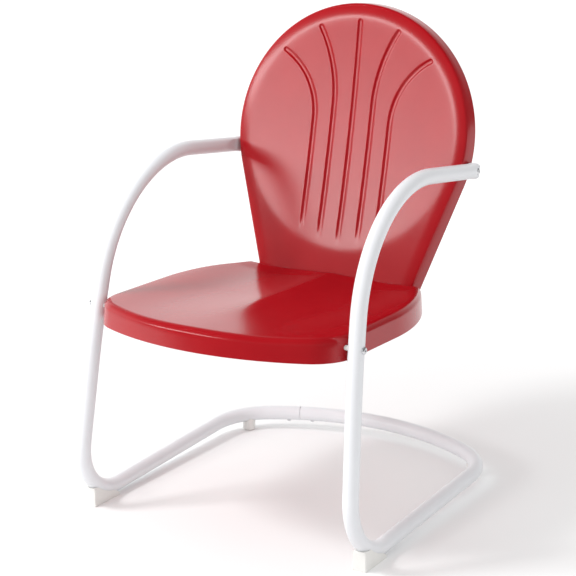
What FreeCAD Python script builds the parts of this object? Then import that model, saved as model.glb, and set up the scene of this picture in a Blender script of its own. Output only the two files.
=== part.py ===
import FreeCAD, Part
import math
import os

from FreeCAD import Rotation, Vector
from math import radians

# Spring lawn chair: two bent side tubes that meet in a rear bow, a pressed seat and a pressed round back.
# Millimetres, +Z up, the sitter faces -Y, and left and right are the sitter's. The model is laid out with
# y = 0 at the front of the plastic feet and is moved at the end so that its origin is the middle of its
# footprint on the floor.

# Tube
TUBE_DIAMETER = 28.0
TUBE_WALL = 1.5

# Side frame, from the foot up, seen from the side
FOOT_BEND_RADIUS = 101.5
FOOT_BEND_BEHIND_FRONT = 82.0
FOOT_BEND_ABOVE_FLOOR = 3.7
RUNNER_RISE = 2.0
LEG_LEAN = 8.5
LEG_STRAIGHT = 129.0
LEG_BOW_RADIUS = 2360.0
LEG_BOW_TURN = 4.1
ARM_SWEEP_RADIUS = 245.0
ARM_FALL = 7.4

# Floor loop
RUNNER_STRAIGHT = 334.0
REAR_CORNER_RADIUS = 116.0
REAR_CORNER_TURN = 60.2
JOINT_OFFSET = 161.0
JOINT_SEAM = 0.8
SLEEVE_LENGTH = 90.0
SLEEVE_WALL = 1.5
SLEEVE_CLEARANCE = 0.3

# Closed arm end
NOSE_BULGE = 1.0
NOSE_THICKNESS = 25.0
NOSE_EDGE_RADIUS = 7.0
NOSE_POCKET_DIAMETER = 21.0
NOSE_POCKET_DEPTH = 4.0
ARM_FLAT_DEPTH = 5.0
ARM_FLAT_LENGTH = 30.0
ARM_FLAT_RAMP = 30.0

# Seat
SEAT_HALF_WIDTH = 244.0
SEAT_DEPTH = 477.0
SEAT_FLANGE = 42.0
SEAT_FLARE = 3.0
SEAT_FRONT_RADIUS = 459.0
SEAT_FRONT_CORNER = 82.0
SEAT_REAR_SIDE_RADIUS = 388.0
SEAT_REAR_SIDE_LENGTH = 210.0
SEAT_REAR_CORNER = 16.0
SEAT_TILT = 1.8
SEAT_EDGE_RADIUS = 12.0
SEAT_AHEAD_OF_BOLT = 97.0
SEAT_BOLT_BELOW_TOP = 20.0
SEAT_BOLT_UP_BOW = 122.0
SEAT_TO_LEG = 4.3
SEAT_DISH_TO_SIDE = 16.0
SEAT_DISH_GAP = 8.0
SEAT_DISH_DEPTH = 6.0

# Back
BACK_RADIUS = 241.0
BACK_CENTRE_UP = 258.0
BACK_FOOT_HALF_WIDTH = 156.0
BACK_BELOW_SEAT = 38.0
BACK_LEAN = 12.1
BACK_FLANGE = 32.0
BACK_FLARE = 3.0
BACK_EDGE_RADIUS = 8.0
BACK_FOOT_CORNER = 14.0
BACK_RIM = 26.0
BACK_DISH_DEPTH = 7.0
BACK_TO_ARM = 0.6
ARM_BOLT_FROM_FACE = 23.0
SHEET = 1.2

# Flutes of the back: distance from the middle, lower end, start of the bend, its radius and its turn
FLUTE_WIDTH = 9.0
FLUTE_DEPTH = 2.0
MIDDLE_FLUTE = (0.0, 61.5, 473.0, None, None)
INNER_FLUTE = (41.0, 75.0, 310.0, 263.6, 33.6)
OUTER_FLUTE = (80.0, 85.0, 285.0, 139.5, 62.5)

# Plastic feet
FOOT_WIDTH = 26.0
FOOT_FRONT_HEIGHT = 36.0
FOOT_LENGTH = 74.0
FOOT_REAR_HEIGHT = 5.0
FOOT_SLOPE_START = 50.0
FOOT_CRADLE = 3.0
FOOT_EDGE_RADIUS = 2.0
FOOT_SCREW_ANGLE = 13.0
GLIDE_DIAMETER = 25.0
GLIDE_EDGE_RADIUS = 4.0
GLIDE_ANGLE = 41.3
FOOT_CLEARANCE = 0.3

# Fasteners
BOLT = 6.0
BOLT_HEAD = 12.0
BOLT_HEAD_HEIGHT = 3.4
HEX_SOCKET = 4.0
HEX_SOCKET_DEPTH = 2.0
HEAD_EDGE_RADIUS = 2.0
BOLT_PAST_NUT = 2.0
NUT_FLATS = 10.0
NUT_HEIGHT = 5.0
WASHER_DIAMETER = 13.0
WASHER_THICKNESS = 1.0
SADDLE_EDGE = 1.5
BACK_BOLT_SPACING = 90.0
BACK_BOLT_DROP = 21.0
SCREW = 4.0
SCREW_HEAD = 8.0
SCREW_HEAD_HEIGHT = 2.6
SCREW_EDGE_RADIUS = 1.3
SCREW_SINK = 1.5
SCREW_GRIP = 6.0
HOLE_CLEARANCE = 0.2
SEATING = 0.1

X = Vector(1, 0, 0)
Y = Vector(0, 1, 0)
Z = Vector(0, 0, 1)
TUBE_RADIUS = TUBE_DIAMETER / 2
BEYOND = 60.0
SEAT_DISH_RADIUS = (SEAT_HALF_WIDTH - SEAT_DISH_TO_SIDE - SEAT_DISH_GAP / 2) / 2
SEAT_DISH_OFFSET = SEAT_DISH_RADIUS + SEAT_DISH_GAP / 2
BACK_DISH_RADIUS = BACK_RADIUS - BACK_RIM


def turned(vector, axis, angle):
    return Rotation(axis, angle).multVec(vector)


def trace(start, heading, steps):
    # A path of straight runs and tangent arcs: each step is (length,) or (radius, turn, axis).
    edges = []
    point = Vector(start)
    heading = Vector(heading)
    for step in steps:
        if len(step) == 1:
            end = point + heading * step[0]
            edges.append(Part.LineSegment(point, end).toShape())
        else:
            radius, turn, axis = step
            centre = point + axis.cross(heading) * radius
            middle = centre + turned(point - centre, axis, turn / 2)
            end = centre + turned(point - centre, axis, turn)
            edges.append(Part.Arc(point, middle, end).toShape())
            heading = turned(heading, axis, turn)
        point = end
    return edges, point, heading


def swept(edges, start, heading, radius):
    circle = Part.Wire(Part.makeCircle(radius, start, heading))
    return Part.Wire(edges).makePipe(Part.Face(circle))


def rod(centre, direction, radius, low, high):
    # A cylinder along a direction, from low to high as measured from its centre.
    return Part.makeCylinder(radius, high - low, centre + direction * low, direction)


def ring(centre, direction, outer, inner, low, high):
    return rod(centre, direction, outer, low, high).cut(rod(centre, direction, inner, low - 1, high + 1))


def hexagon(centre, direction, flats, low, high):
    corners = []
    across = direction.cross(Z if abs(direction.z) < 0.9 else X).normalize() * (flats / math.sqrt(3))
    for step in range(7):
        corners.append(centre + direction * low + turned(across, direction, 60 * step))
    return Part.Face(Part.makePolygon(corners)).extrude(direction * (high - low))


def mirrored(shape):
    return shape.mirror(Vector(0, 0, 0), X)


def largest(shape):
    return max(shape.Solids, key=lambda solid: solid.Volume)


def rounded(solid, radius, wanted):
    edges = [edge for edge in solid.Edges if wanted(edge)]
    return solid.makeFillet(radius, edges)


def button_bolt(seat, direction, grip):
    # Head seat at the point given, shank along the direction.
    head = rod(seat, direction, BOLT_HEAD / 2, -BOLT_HEAD_HEIGHT, 0)
    top = seat - direction * BOLT_HEAD_HEIGHT
    head = rounded(head, HEAD_EDGE_RADIUS, lambda edge: (edge.CenterOfMass - top).Length < 0.01)
    head = head.cut(hexagon(top, direction, HEX_SOCKET, -1, HEX_SOCKET_DEPTH))
    return head.fuse(rod(seat, direction, BOLT / 2, 0, grip)).removeSplitter()


def nut(seat, direction):
    body = hexagon(seat, direction, NUT_FLATS, 0, NUT_HEIGHT)
    return body.cut(rod(seat, direction, BOLT / 2 + SEATING, -1, NUT_HEIGHT + 1))


def washer(seat, direction):
    return ring(seat, direction, WASHER_DIAMETER / 2, BOLT / 2 + HOLE_CLEARANCE, 0, WASHER_THICKNESS)


def pan_screw(seat, direction, grip):
    head = rod(seat, direction, SCREW_HEAD / 2, -SCREW_HEAD_HEIGHT, 0)
    base = seat - direction * SCREW_HEAD_HEIGHT
    head = rounded(head, SCREW_EDGE_RADIUS, lambda edge: (edge.CenterOfMass - base).Length < 0.01)
    return head.fuse(rod(seat, direction, SCREW / 2, 0, grip)).removeSplitter()


def bolt_hole(centre, direction, low, high, size=BOLT):
    return rod(centre, direction, size / 2 + HOLE_CLEARANCE, low, high)


# Layout in the plane of a side frame: "up" is that plane's own upward direction
bend_height = FOOT_BEND_ABOVE_FLOOR + TUBE_RADIUS + FOOT_BEND_RADIUS
low_height = bend_height - FOOT_BEND_RADIUS
leg_foot_y = FOOT_BEND_BEHIND_FRONT - FOOT_BEND_RADIUS * math.cos(radians(LEG_LEAN))
leg_foot_up = bend_height + FOOT_BEND_RADIUS * math.sin(radians(LEG_LEAN))
bow_y = leg_foot_y + LEG_STRAIGHT * math.sin(radians(LEG_LEAN))
bow_up = leg_foot_up + LEG_STRAIGHT * math.cos(radians(LEG_LEAN))


def along_arc(y, up, lean, radius, turn):
    # The point and lean reached from a point on an arc that leans back more and more.
    end = lean + turn
    return (y + radius * (math.cos(radians(lean)) - math.cos(radians(end))),
            up + radius * (math.sin(radians(end)) - math.sin(radians(lean))), end)


seat_bolt_turn = math.degrees(SEAT_BOLT_UP_BOW / LEG_BOW_RADIUS)
seat_bolt_y, seat_bolt_up, _ = along_arc(bow_y, bow_up, LEG_LEAN, LEG_BOW_RADIUS, seat_bolt_turn)
sweep_y, sweep_up, sweep_lean = along_arc(bow_y, bow_up, LEG_LEAN, LEG_BOW_RADIUS, LEG_BOW_TURN)
arm_sweep_turn = 90 + ARM_FALL - sweep_lean
arm_y, arm_up, _ = along_arc(sweep_y, sweep_up, sweep_lean, ARM_SWEEP_RADIUS, arm_sweep_turn)

# Seat and back planes, as they follow from the seat bolts
seat_front_y = seat_bolt_y - SEAT_AHEAD_OF_BOLT
seat_rear_y = seat_front_y + SEAT_DEPTH
seat_fall = math.tan(radians(SEAT_TILT))
seat_rear_up = seat_bolt_up + SEAT_BOLT_BELOW_TOP - seat_fall * (seat_rear_y - seat_bolt_y)
back_up = Vector(0, math.sin(radians(BACK_LEAN)), math.cos(radians(BACK_LEAN)))
back_rear = Vector(0, math.cos(radians(BACK_LEAN)), -math.sin(radians(BACK_LEAN)))

# Where the arm meets the bolt line of the back's flange
arm_fall = Vector(0, math.cos(radians(ARM_FALL)), -math.sin(radians(ARM_FALL)))
to_arm = Vector(0, arm_y - seat_rear_y, arm_up - seat_rear_up)
arm_straight = (ARM_BOLT_FROM_FACE - to_arm.dot(back_rear)) / arm_fall.dot(back_rear)
arm_bolt_along = (to_arm + arm_fall * arm_straight).dot(back_up)
arm_bolt_up = arm_up + arm_fall.z * arm_straight


def back_side():
    # Tangent point and direction of the straight side below the circle of the back.
    drop = BACK_CENTRE_UP + BACK_BELOW_SEAT
    reach = math.hypot(BACK_FOOT_HALF_WIDTH, drop)
    angle = math.acos(BACK_RADIUS / reach) - math.atan2(drop, BACK_FOOT_HALF_WIDTH)
    return BACK_RADIUS * math.cos(angle), BACK_CENTRE_UP + BACK_RADIUS * math.sin(angle)


def back_half_width(along):
    side_x, side_along = back_side()
    if along >= side_along:
        return math.sqrt(BACK_RADIUS ** 2 - (along - BACK_CENTRE_UP) ** 2)
    share = (along + BACK_BELOW_SEAT) / (side_along + BACK_BELOW_SEAT)
    return BACK_FOOT_HALF_WIDTH + share * (side_x - BACK_FOOT_HALF_WIDTH)


# The side frames lean inwards from the seat's width to the back's
leg_x = SEAT_HALF_WIDTH + SEAT_TO_LEG + TUBE_RADIUS
arm_flare = BACK_FLARE * ARM_BOLT_FROM_FACE / BACK_FLANGE
arm_x = back_half_width(arm_bolt_along + TUBE_RADIUS) + arm_flare + BACK_TO_ARM + TUBE_RADIUS - ARM_FLAT_DEPTH
inward = math.degrees(math.atan((leg_x - arm_x) / (arm_bolt_up - seat_bolt_up)))
foot_x = leg_x + (seat_bolt_up - low_height) * math.tan(radians(inward))
side_up = Vector(-math.sin(radians(inward)), 0, math.cos(radians(inward)))
side_axis = Y.cross(side_up) * -1


def on_side(y, up):
    return Vector(foot_x, y, low_height) + side_up * (up - low_height)


def heading_at(lean):
    return Y * math.sin(radians(lean)) + side_up * math.cos(radians(lean))


runner_heading = Y * math.cos(radians(RUNNER_RISE)) + side_up * math.sin(radians(RUNNER_RISE))
runner_start = on_side(FOOT_BEND_BEHIND_FRONT + FOOT_BEND_RADIUS * math.sin(radians(RUNNER_RISE)),
                       bend_height - FOOT_BEND_RADIUS * math.cos(radians(RUNNER_RISE)))
leg_foot = on_side(leg_foot_y, leg_foot_up)
seat_bolt = on_side(seat_bolt_y, seat_bolt_up)
arm_bolt = on_side(arm_y, arm_up) + (Y * arm_fall.y + side_up * arm_fall.z) * arm_straight

# Rear bow: it closes the loop at right angles to the middle plane
loop_axis = runner_heading.cross(X * -1).normalize()
_, corner_end, corner_heading = trace(runner_start, runner_heading,
                                      [(RUNNER_STRAIGHT,), (REAR_CORNER_RADIUS, REAR_CORNER_TURN, loop_axis)])
bow_turn = math.degrees(corner_heading.getAngle(X * -1))
rear_bow_radius = corner_end.x / math.sin(radians(bow_turn))
joint_turn = math.degrees(math.asin(JOINT_OFFSET / rear_bow_radius))
seam_turn = math.degrees(JOINT_SEAM / 2 / rear_bow_radius)

leg_steps = [(LEG_STRAIGHT,), (LEG_BOW_RADIUS, LEG_BOW_TURN, side_axis),
             (ARM_SWEEP_RADIUS, arm_sweep_turn, side_axis)]
bore_stop = math.sqrt((TUBE_RADIUS + NOSE_BULGE) ** 2 - TUBE_RADIUS ** 2) + TUBE_WALL


def beside_back(wall=0.0):
    # What the pressing takes off the inner side of the arm's end: a ramp, then a flat against the flange.
    flat_x = arm_bolt.x - TUBE_RADIUS + ARM_FLAT_DEPTH + wall
    outside_x = flat_x - 2 * ARM_FLAT_DEPTH
    ramp_end = arm_bolt.y - ARM_FLAT_LENGTH
    corners = [Vector(flat_x, arm_bolt.y + BEYOND, 0), Vector(flat_x, ramp_end, 0),
               Vector(outside_x, ramp_end - 2 * ARM_FLAT_RAMP, 0), Vector(outside_x, arm_bolt.y + BEYOND, 0)]
    face = Part.Face(Part.makePolygon(corners + corners[:1]))
    face.translate(Z * (arm_bolt.z - BEYOND))
    return face.extrude(Z * (2 * BEYOND))


def arm_leg_tube():
    heading = heading_at(LEG_LEAN)
    edges, _, _ = trace(leg_foot, heading, leg_steps + [(arm_straight,)])
    outer = swept(edges, leg_foot, heading, TUBE_RADIUS)
    edges, _, _ = trace(leg_foot, heading, leg_steps + [(arm_straight - bore_stop,)])
    bore = swept(edges, leg_foot, heading, TUBE_RADIUS - TUBE_WALL)
    half = NOSE_THICKNESS / 2
    nose = rod(arm_bolt, X, TUBE_RADIUS + NOSE_BULGE, -half, half)
    nose = nose.makeFillet(NOSE_EDGE_RADIUS, [edge for edge in nose.Edges if len(edge.Vertexes) == 1])
    tube = outer.fuse(nose).cut(beside_back()).cut(bore.cut(beside_back(TUBE_WALL)))
    tube = tube.cut(rod(arm_bolt, X, NOSE_POCKET_DIAMETER / 2, half - NOSE_POCKET_DEPTH, BEYOND))
    tube = tube.cut(bolt_hole(arm_bolt, X, -BEYOND, BEYOND))
    return largest(tube.cut(bolt_hole(seat_bolt, X, -BEYOND, BEYOND)))


def spring_bend():
    heading = runner_heading * -1
    turn = math.degrees(heading.getAngle(heading_at(LEG_LEAN)))
    edges, _, _ = trace(runner_start, heading, [(FOOT_BEND_RADIUS, turn, side_axis)])
    outer = swept(edges, runner_start, heading, TUBE_RADIUS)
    return outer.cut(swept(edges, runner_start, heading, TUBE_RADIUS - TUBE_WALL))


def runner_tube(last_turn, radius=TUBE_RADIUS):
    edges, _, _ = trace(runner_start, runner_heading,
                        [(RUNNER_STRAIGHT,), (REAR_CORNER_RADIUS, REAR_CORNER_TURN, loop_axis),
                         (rear_bow_radius, last_turn, loop_axis)])
    return swept(edges, runner_start, runner_heading, radius)


def hollow_runner(last_turn):
    return runner_tube(last_turn).cut(runner_tube(last_turn, TUBE_RADIUS - TUBE_WALL))


def bow_point(x):
    # A point on the rear bow and the bow's heading there.
    turn = math.degrees(math.asin(-x / rear_bow_radius)) + bow_turn
    _, point, heading = trace(corner_end, corner_heading, [(rear_bow_radius, turn, loop_axis)])
    return point, heading


def coupling_sleeve():
    half_turn = math.degrees(SLEEVE_LENGTH / 2 / rear_bow_radius)
    start, heading = bow_point(-rear_bow_radius * math.sin(radians(joint_turn - half_turn)))
    edges, _, _ = trace(start, heading, [(rear_bow_radius, half_turn * 2, loop_axis)])
    outer = TUBE_RADIUS - TUBE_WALL - SLEEVE_CLEARANCE
    return swept(edges, start, heading, outer).cut(swept(edges, start, heading, outer - SLEEVE_WALL))


def seat_outline(inset):
    # Front arc, two front corners, straight sides, curved rear sides and a straight rear line.
    half = SEAT_HALF_WIDTH - inset
    front = SEAT_FRONT_RADIUS - inset
    corner = SEAT_FRONT_CORNER - inset
    side = SEAT_REAR_SIDE_RADIUS - inset
    front_centre = seat_front_y + SEAT_FRONT_RADIUS
    corner_x = SEAT_HALF_WIDTH - SEAT_FRONT_CORNER
    spread = SEAT_FRONT_RADIUS - SEAT_FRONT_CORNER
    corner_y = front_centre - math.sqrt(spread ** 2 - corner_x ** 2)
    corner_angle = math.atan2(corner_y - front_centre, corner_x)
    meet = Vector(front * math.cos(corner_angle), front_centre + front * math.sin(corner_angle), 0)
    middle_angle = corner_angle / 2
    corner_centre = Vector(corner_x, corner_y, 0)
    corner_middle = corner_centre + Vector(math.cos(middle_angle), math.sin(middle_angle), 0) * corner
    side_start = Vector(half, corner_y, 0)
    side_end = Vector(half, seat_rear_y - SEAT_REAR_SIDE_LENGTH, 0)
    side_turn = math.asin((SEAT_REAR_SIDE_LENGTH + SEAT_FLANGE) / SEAT_REAR_SIDE_RADIUS)
    side_centre = Vector(SEAT_HALF_WIDTH - SEAT_REAR_SIDE_RADIUS, side_end.y, 0)
    rear_middle = side_centre + Vector(math.cos(side_turn / 2), math.sin(side_turn / 2), 0) * side
    rear_end = side_centre + Vector(math.cos(side_turn), math.sin(side_turn), 0) * side

    def flip(point):
        return Vector(-point.x, point.y, point.z)

    edges = [Part.Arc(flip(meet), Vector(0, front_centre - front, 0), meet),
             Part.Arc(meet, corner_middle, side_start),
             Part.LineSegment(side_start, side_end),
             Part.Arc(side_end, rear_middle, rear_end),
             Part.LineSegment(rear_end, flip(rear_end)),
             Part.Arc(flip(rear_end), flip(rear_middle), flip(side_end)),
             Part.LineSegment(flip(side_end), flip(side_start)),
             Part.Arc(flip(side_start), flip(corner_middle), flip(meet))]
    return Part.Wire([edge.toShape() for edge in edges])


seat_pivot = Vector(0, seat_bolt.y, seat_bolt.z + SEAT_BOLT_BELOW_TOP)
back_origin = Vector(0, seat_rear_y, seat_pivot.z - seat_fall * (seat_rear_y - seat_bolt_y))


def behind_plane(offset):
    # Everything behind the plane of the back's face, moved forwards by the offset.
    size = 4 * SEAT_DEPTH
    corner = back_origin - back_rear * offset - X * (size / 2) - back_up * (size / 2)
    face = Part.Face(Part.makePolygon([corner, corner + X * size, corner + X * size + back_up * size,
                                       corner + back_up * size, corner]))
    return face.extrude(back_rear * size)


def seat_solid(inset, below=0.0):
    # The seat as a full block: its outline, leaning rear wall, rounded edges and two shallow leg dishes.
    bottom = SEAT_FLANGE + below
    flare = SEAT_FLARE / SEAT_FLANGE
    wires = [seat_outline(inset - flare * level) for level in (bottom, inset)]
    for wire, level in zip(wires, (bottom, inset)):
        wire.translate(Vector(0, 0, seat_pivot.z - level))
    block = Part.makeLoft(wires, True, True)
    block.rotate(seat_pivot, X, -SEAT_TILT)
    block = block.cut(behind_plane(inset))
    rear = [edge for edge in block.Edges if abs(edge.tangentAt(edge.FirstParameter).z) > 0.8
            and edge.CenterOfMass.y > seat_rear_y - SEAT_REAR_SIDE_LENGTH / 2]
    block = block.makeFillet(SEAT_REAR_CORNER - inset, rear)
    normal = turned(Z, X, -SEAT_TILT)
    top = [face for face in block.Faces if face.normalAt(0, 0).dot(normal) > 0.999][0]
    block = block.makeFillet(SEAT_EDGE_RADIUS - inset, top.OuterWire.Edges)
    sphere = (SEAT_DISH_RADIUS ** 2 + SEAT_DISH_DEPTH ** 2) / (2 * SEAT_DISH_DEPTH)
    middle = seat_pivot + turned(Y, X, -SEAT_TILT) * (seat_front_y + SEAT_DEPTH / 2 - seat_bolt_y)
    for side in (-1, 1):
        centre = middle + X * (side * SEAT_DISH_OFFSET) + normal * (sphere - SEAT_DISH_DEPTH)
        block = block.cut(Part.makeSphere(sphere + inset, centre))
    return block


def in_back(across, along, depth):
    return back_origin + X * across + back_up * along + back_rear * depth


def back_outline(inset, level):
    # Circle, straight tapering sides and straight foot, at a level behind the face.
    side_x, side_along = back_side()
    outward = Vector(side_x, side_along - BACK_CENTRE_UP, 0).normalize()
    radius = BACK_RADIUS - inset
    side = Vector(0, BACK_CENTRE_UP, 0) + outward * radius
    down = Vector(outward.y, -outward.x, 0)
    foot_along = -BACK_BELOW_SEAT + inset
    foot = side + down * ((side.y - foot_along) / -down.y)

    def place(point):
        return in_back(point.x, point.y, level)

    def flip(point):
        return Vector(-point.x, point.y, 0)

    top = Vector(0, BACK_CENTRE_UP + radius, 0)
    edges = [Part.Arc(place(side), place(top), place(flip(side))),
             Part.LineSegment(place(flip(side)), place(flip(foot))),
             Part.LineSegment(place(flip(foot)), place(foot)),
             Part.LineSegment(place(foot), place(side))]
    return Part.Wire([edge.toShape() for edge in edges])


def back_solid(inset, depth):
    # The back as a full block: circle, straight tapering sides, straight foot, rounded edge, dish and flutes.
    flare = BACK_FLARE / BACK_FLANGE
    wires = [back_outline(inset - flare * level, level) for level in (inset, depth)]
    block = Part.makeLoft(wires, True, True)
    corners = [edge for edge in block.Edges if len(edge.Vertexes) == 2
               and abs(edge.tangentAt(edge.FirstParameter).dot(back_rear)) > 0.9
               and edge.CenterOfMass.sub(in_back(0, 0, 0)).dot(back_up) < 0]
    block = block.makeFillet(BACK_FOOT_CORNER - inset, corners)
    front = [flat for flat in block.Faces if flat.normalAt(0, 0).dot(back_rear) < -0.999][0]
    block = block.makeFillet(BACK_EDGE_RADIUS - inset, front.OuterWire.Edges)
    sphere = (BACK_DISH_RADIUS ** 2 + BACK_DISH_DEPTH ** 2) / (2 * BACK_DISH_DEPTH)
    centre = in_back(0, BACK_CENTRE_UP, BACK_DISH_DEPTH - sphere)
    block = block.cut(Part.makeSphere(sphere + inset, centre))
    channel = Part.makeSphere(sphere + FLUTE_DEPTH + inset, centre)
    for flute in flutes():
        slot = flute_slot(flute, FLUTE_WIDTH / 2 + inset)
        block = block.cut(slot.common(channel))
    return block


def flutes():
    mirrored_flutes = [(-flute[0],) + flute[1:] for flute in (INNER_FLUTE, OUTER_FLUTE)]
    return [MIDDLE_FLUTE, INNER_FLUTE, OUTER_FLUTE] + mirrored_flutes


def flute_slot(flute, half_width):
    # A long slot with round ends, along a straight run and an arc that bends outwards.
    across, low, high, bend_radius, bend_turn = flute
    axis = back_rear * (-1 if across < 0 else 1)
    start = in_back(across, low, -BACK_DISH_DEPTH) - axis.cross(back_up) * half_width
    run = (high - low,)
    cap = (half_width, 180, axis)
    steps = [run, cap, run, cap]
    if bend_radius:
        steps = [run, (bend_radius + half_width, bend_turn, axis), cap,
                 (bend_radius - half_width, bend_turn, axis * -1), run, cap]
    edges, _, _ = trace(start, back_up, steps)
    return Part.Face(Part.Wire(edges)).extrude(back_rear * (3 * BACK_DISH_DEPTH))


def front_foot(outer_bend):
    # A wedge shoe under the foot bend, hollowed by the tube that lies in it.
    cradle = FOOT_BEND_RADIUS + FOOT_CRADLE
    slope_z = bend_height - math.sqrt(cradle ** 2 - (FOOT_BEND_BEHIND_FRONT - FOOT_SLOPE_START) ** 2)
    step_y = FOOT_BEND_BEHIND_FRONT - math.sqrt(cradle ** 2 - (bend_height - FOOT_FRONT_HEIGHT) ** 2)
    middle_angle = (math.atan2(slope_z - bend_height, FOOT_SLOPE_START - FOOT_BEND_BEHIND_FRONT)
                    + math.atan2(FOOT_FRONT_HEIGHT - bend_height, step_y - FOOT_BEND_BEHIND_FRONT)) / 2
    middle = Vector(0, FOOT_BEND_BEHIND_FRONT + cradle * math.cos(middle_angle),
                    bend_height + cradle * math.sin(middle_angle))
    corners = [Vector(0, 0, FOOT_FRONT_HEIGHT), Vector(0, 0, 0), Vector(0, FOOT_LENGTH, 0),
               Vector(0, FOOT_LENGTH, FOOT_REAR_HEIGHT), Vector(0, FOOT_SLOPE_START, slope_z)]
    step = Vector(0, step_y, FOOT_FRONT_HEIGHT)
    edges = [Part.LineSegment(corners[k], corners[k + 1]).toShape() for k in range(4)]
    edges.append(Part.Arc(corners[4], middle, step).toShape())
    edges.append(Part.LineSegment(step, corners[0]).toShape())
    face = Part.Face(Part.Wire(edges))
    face.translate(X * (foot_x - FOOT_WIDTH / 2))
    block = face.extrude(X * FOOT_WIDTH)
    front = [edge for edge in block.Edges if abs(edge.CenterOfMass.y) < 0.01
             and abs(edge.tangentAt(edge.FirstParameter).z) > 0.9]
    block = block.makeFillet(FOOT_EDGE_RADIUS, front)
    return largest(block.cut(outer_bend))


def foot_screw_place():
    centre = Vector(foot_x, FOOT_BEND_BEHIND_FRONT, bend_height)
    outward = turned(Z * -1, X, -FOOT_SCREW_ANGLE)
    seat_distance = (bend_height - SCREW_SINK - SCREW_HEAD_HEIGHT) / math.cos(radians(FOOT_SCREW_ANGLE))
    return centre + outward * seat_distance, outward * -1, seat_distance - FOOT_BEND_RADIUS


def glide_place():
    _, point, _ = trace(runner_start, runner_heading,
                        [(RUNNER_STRAIGHT,), (REAR_CORNER_RADIUS, GLIDE_ANGLE, loop_axis)])
    return point


def rear_glide(outer_runner):
    # A round stud under the rear corner, hollowed by the tube that lies on it.
    point = glide_place()
    stud = Part.makeCylinder(GLIDE_DIAMETER / 2, point.z, Vector(point.x, point.y, 0))
    foot_edges = [edge for edge in stud.Edges if len(edge.Vertexes) == 1 and edge.CenterOfMass.z < 0.01]
    stud = stud.makeFillet(GLIDE_EDGE_RADIUS, foot_edges)
    return largest(stud.cut(outer_runner))


parts = {}


def keep(name, shape):
    parts[name] = shape


def keep_pair(name, shape):
    keep("left_" + name, shape)
    keep("right_" + name, mirrored(shape))


def keep_group(name, solids):
    keep(name, Part.makeCompound(solids))


# Side frames
keep_pair("arm_leg_tube", arm_leg_tube())

foot_screw_seat, foot_screw_up, foot_screw_reach = foot_screw_place()
foot_screw_hole = bolt_hole(foot_screw_seat, foot_screw_up, -1, foot_screw_reach, SCREW)
keep_pair("spring_bend", largest(spring_bend().cut(foot_screw_hole)))

# Floor loop: the left tube runs on past the middle to the joint, where the right one meets it
glide = glide_place()
glide_hole = bolt_hole(Vector(glide.x, glide.y, 0), Z, 0, glide.z, SCREW)
left_runner = hollow_runner(bow_turn + joint_turn - seam_turn).cut(glide_hole)
right_runner = mirrored(hollow_runner(bow_turn - joint_turn - seam_turn).cut(glide_hole))
sleeve = coupling_sleeve()
coupling_screws = []
for side in (-1, 1):
    place, _ = bow_point(-JOINT_OFFSET + side * SLEEVE_LENGTH / 4)
    seat = place - Z * (TUBE_RADIUS + SEATING)
    coupling_screws.append(pan_screw(seat, Z, SCREW_GRIP))
    hole = bolt_hole(seat, Z, -1, SCREW_GRIP + 1, SCREW)
    sleeve = sleeve.cut(hole)
    left_runner = left_runner.cut(hole)
    right_runner = right_runner.cut(hole)
keep("left_runner_tube", largest(left_runner))
keep("right_runner_tube", largest(right_runner))
keep("rear_coupling_sleeve", largest(sleeve))
keep_group("coupling_screws", coupling_screws)

# Plastic feet and their screws
bend_edges, _, _ = trace(runner_start, runner_heading * -1,
                         [(FOOT_BEND_RADIUS, 90, side_axis)])
bend_room = swept(bend_edges, runner_start, runner_heading * -1, TUBE_RADIUS + FOOT_CLEARANCE)
foot = front_foot(bend_room).cut(foot_screw_hole)
foot = foot.cut(rod(foot_screw_seat, foot_screw_up, SCREW_HEAD / 2 + HOLE_CLEARANCE, -BEYOND, 0))
keep_pair("front_foot", largest(foot))
foot_screw = pan_screw(foot_screw_seat, foot_screw_up, foot_screw_reach - TUBE_RADIUS + SCREW_GRIP)
keep_group("foot_screws", [foot_screw, mirrored(foot_screw)])

runner_room = runner_tube(bow_turn, TUBE_RADIUS + FOOT_CLEARANCE)
stud = rear_glide(runner_room).cut(glide_hole)
head_seat = Vector(glide.x, glide.y, SCREW_SINK + SCREW_HEAD_HEIGHT)
stud = stud.cut(rod(head_seat, Z, SCREW_HEAD / 2 + HOLE_CLEARANCE, -head_seat.z - 1, 0))
keep_pair("rear_glide", largest(stud))
glide_screw = pan_screw(head_seat, Z, glide.z - TUBE_RADIUS - head_seat.z + SCREW_GRIP)
keep_group("glide_screws", [glide_screw, mirrored(glide_screw)])

# Seat and back
seat_hole = bolt_hole(seat_bolt, X, -2 * BEYOND, BEYOND)
arm_hole = bolt_hole(arm_bolt, X, -BEYOND, BEYOND)
back_bolt_seats = [in_back(BACK_BOLT_SPACING * step, -BACK_BOLT_DROP, 0) for step in (-1, 0, 1)]
seat = seat_solid(0).cut(seat_solid(SHEET, BEYOND))
back = back_solid(0, BACK_FLANGE).cut(back_solid(SHEET, BACK_FLANGE + BEYOND))
for hole in (seat_hole, mirrored(seat_hole)):
    seat = seat.cut(hole)
for hole in (arm_hole, mirrored(arm_hole)):
    back = back.cut(hole)
for place in back_bolt_seats:
    hole = bolt_hole(place, back_rear, -BACK_FLANGE, BACK_FLANGE)
    seat = seat.cut(hole)
    back = back.cut(hole)
keep("seat_pan", largest(seat))
keep("back_shell", largest(back))


def wall_span(bolt, inside):
    # Lowest and highest X of the inner side of a curved wall, within a washer's width of a bolt.
    reach = rod(bolt, X, WASHER_DIAMETER / 2, -2 * BEYOND, 0).common(inside)
    ends = [face.BoundBox for face in reach.Faces if face.BoundBox.XMin > reach.BoundBox.XMin + 1]
    return min(box.XMin for box in ends), max(box.XMax for box in ends)


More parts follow.
